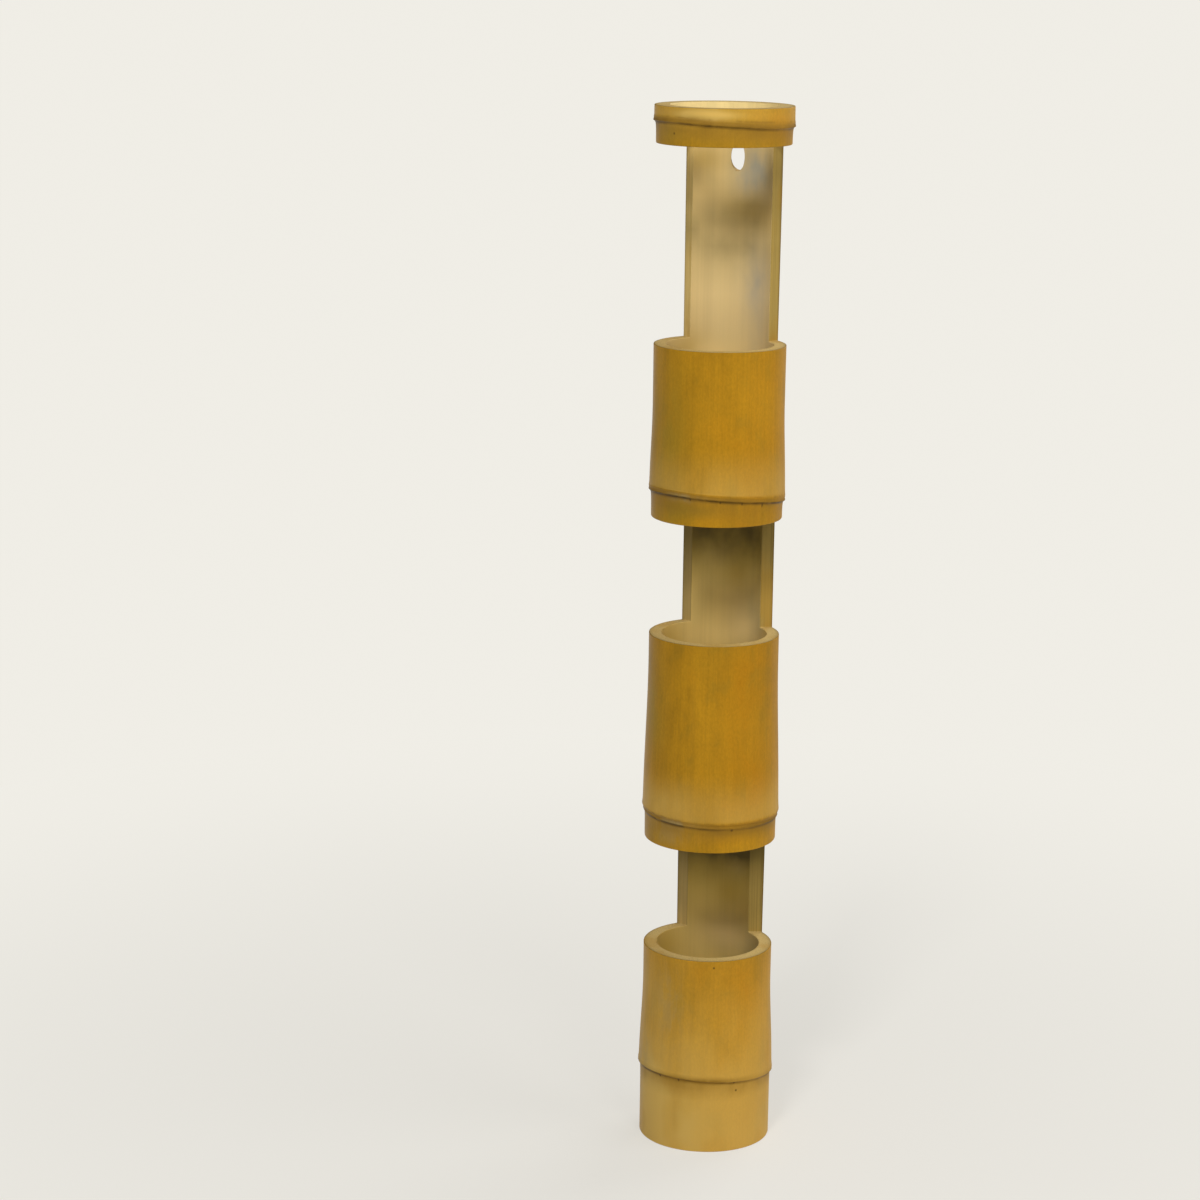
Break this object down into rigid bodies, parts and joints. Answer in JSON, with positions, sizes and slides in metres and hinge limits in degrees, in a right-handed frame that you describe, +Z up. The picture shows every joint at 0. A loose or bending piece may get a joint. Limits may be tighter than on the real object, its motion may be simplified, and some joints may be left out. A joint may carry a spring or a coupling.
{
  "type": "bamboo flower vase",
  "caption": "Tall bamboo flower vase, windows sawn in its front above each cup, natural node floors and lift-out copper water liners.",
  "frame": {"origin": "centre of the round foot, on the surface the vase stands on", "axes": "+Z up along the culm, windows open towards -Y, back strips and hanging hole at +Y"},
  "size_m": [0.0797, 0.0796, 0.6],
  "materials": {
    "bamboo": "seasoned golden bamboo skin with a low satin shine, fine fibre streaks, darker node scars and pale sawn faces",
    "liner_copper": "dull brown copper sheet with a soldered base"
  },
  "bodies": {
    "vase": {"culm": "bamboo"},
    "upper_liner": {"upper_liner_wall": "liner_copper", "upper_liner_base": "liner_copper"},
    "middle_liner": {"middle_liner_wall": "liner_copper", "middle_liner_base": "liner_copper"},
    "lower_liner": {"lower_liner_wall": "liner_copper", "lower_liner_base": "liner_copper"}
  },
  "joints": [
    {"name": "upper_liner_lift", "type": "slide", "parent": "vase", "child": "upper_liner", "axis": [0, 0, 1], "range_m": [0, 0.081]},
    {"name": "middle_liner_lift", "type": "slide", "parent": "vase", "child": "middle_liner", "axis": [0, 0, 1], "range_m": [0, 0.101]},
    {"name": "lower_liner_lift", "type": "slide", "parent": "vase", "child": "lower_liner", "axis": [0, 0, 1], "range_m": [0, 0.071]}
  ]
}
